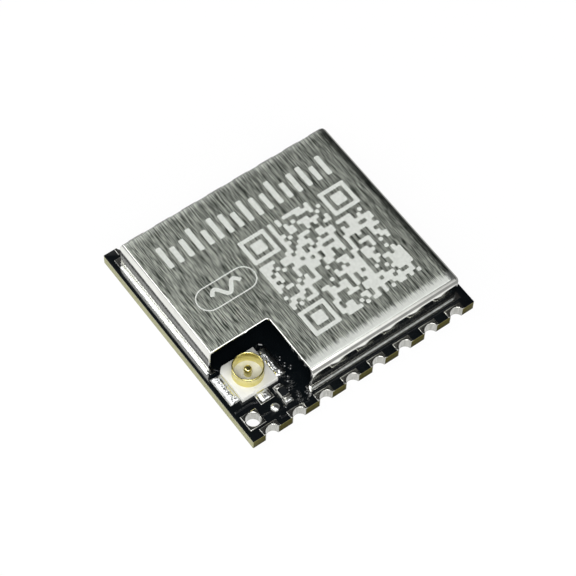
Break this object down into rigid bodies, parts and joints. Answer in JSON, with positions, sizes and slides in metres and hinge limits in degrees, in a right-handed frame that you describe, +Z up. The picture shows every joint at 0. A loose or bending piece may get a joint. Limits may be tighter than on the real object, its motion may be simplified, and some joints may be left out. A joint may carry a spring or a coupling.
{
  "type": "lora module",
  "caption": "Small castellated radio module: circuit board with a folded shield can and a miniature coaxial antenna socket in the can's open corner.",
  "frame": {"origin": "middle of the board's underside, on the plane the module rests on", "axes": "+X along the two rows of pads, +Y from the row beside the antenna socket to the row behind the can, +Z up out of the can's lid"},
  "size_m": [0.0168, 0.016, 0.0032],
  "materials": {
    "black_mask": "glossy black solder mask over glass-epoxy laminate, khaki where the laminate is cut",
    "tinned_copper": "bright tinned copper plating",
    "solder": "bright reflowed solder",
    "can_sheet": "brushed nickel-silver sheet, grain across the module",
    "gold_plate": "pale gold plating",
    "white_moulding": "off-white heat-proof moulding",
    "chip_ceramic": "dark coated ceramic",
    "capacitor_ceramic": "tan fired ceramic with tinned ends",
    "chip_moulding": "matt black epoxy moulding",
    "ferrite": "dark grey ferrite"
  },
  "bodies": {
    "root": {"antenna_joint_left": "solder", "antenna_joint_right": "solder", "antenna_joint_signal": "solder", "antenna_land_left": "tinned_copper", "antenna_land_right": "tinned_copper", "antenna_land_signal": "tinned_copper", "antenna_socket_base": "white_moulding", "antenna_socket_pin": "gold_plate", "antenna_socket_ring": "gold_plate", "antenna_switch_body": "chip_moulding", "antenna_switch_leads": "tinned_copper", "antenna_wire_pad": "tinned_copper", "castellated_pad_01": "tinned_copper", "castellated_pad_02": "tinned_copper", "castellated_pad_03": "tinned_copper", "castellated_pad_04": "tinned_copper", "castellated_pad_05": "tinned_copper", "castellated_pad_06": "tinned_copper", "castellated_pad_07": "tinned_copper", "castellated_pad_08": "tinned_copper", "castellated_pad_09": "tinned_copper", "castellated_pad_10": "tinned_copper", "castellated_pad_11": "tinned_copper", "castellated_pad_12": "tinned_copper", "castellated_pad_13": "tinned_copper", "castellated_pad_14": "tinned_copper", "castellated_pad_15": "tinned_copper", "castellated_pad_16": "tinned_copper", "circuit_board": "black_mask", "filter_capacitor_1": "capacitor_ceramic", "filter_capacitor_2": "capacitor_ceramic", "filter_capacitor_3": "capacitor_ceramic", "filter_coil_1": "chip_ceramic", "filter_coil_2": "chip_ceramic", "filter_coil_3": "chip_ceramic", "matching_resistor_body": "chip_ceramic", "matching_resistor_ends": "tinned_copper", "matching_resistor_joints": "solder", "matching_resistor_lands": "tinned_copper", "oscillator_base": "chip_ceramic", "oscillator_lid": "gold_plate", "radio_chip_body": "chip_moulding", "radio_chip_contacts": "tinned_copper", "regulator_coil": "ferrite", "shield_can": "can_sheet", "shield_ground_land": "tinned_copper", "shield_solder": "solder", "solder_bump": "solder", "solder_bump_land": "tinned_copper", "supply_capacitor_1": "capacitor_ceramic", "supply_capacitor_2": "capacitor_ceramic", "supply_capacitor_3": "capacitor_ceramic", "supply_capacitor_4": "capacitor_ceramic", "supply_capacitor_5": "capacitor_ceramic", "supply_capacitor_6": "capacitor_ceramic"}
  },
  "joints": []
}
